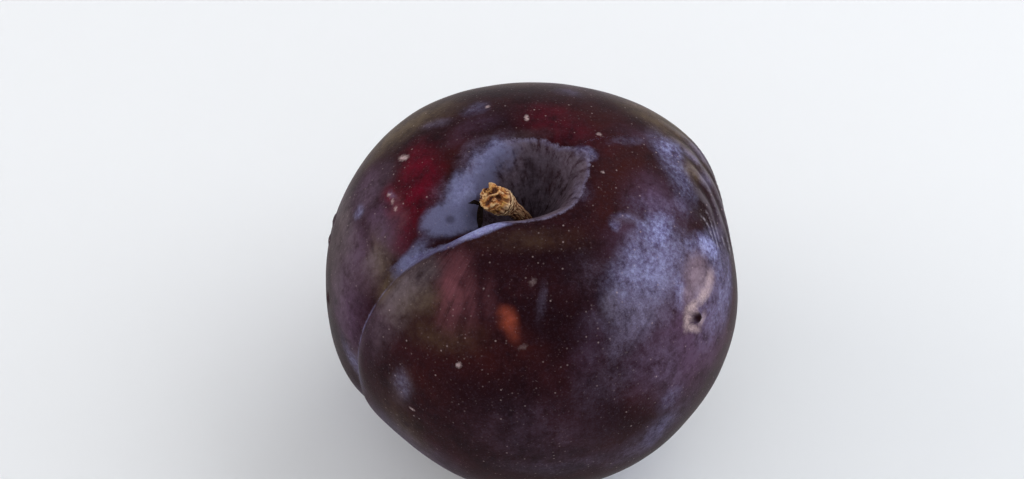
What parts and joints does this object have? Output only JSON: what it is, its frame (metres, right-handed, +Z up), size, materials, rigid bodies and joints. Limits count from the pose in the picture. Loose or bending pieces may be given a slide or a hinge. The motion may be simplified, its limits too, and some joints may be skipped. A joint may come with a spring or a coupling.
{
  "type": "plum",
  "caption": "Ripe dark plum as picked: a round stone fruit with a suture down one side and a short dry stalk in its stem cavity, resting level on its blossom end.",
  "frame": {"origin": "on the resting surface, under the middle of the plum's box", "axes": "+Z up, within 4 degrees of the fruit's own axis from blossom end to stalk, and the shortest extent; -Y the front, which the stalk's end leans towards; the suture runs down the front left, between -X and -Y"},
  "size_m": [0.064, 0.0634, 0.0567],
  "materials": {
    "plum_skin": "waxy dark purple skin, semi-gloss, with a matt blue-lavender bloom in patches",
    "dry_bark": "dry, matt, cracked lengthwise"
  },
  "bodies": {
    "root": {"fruit": "plum_skin", "stalk": "dry_bark"}
  },
  "joints": []
}
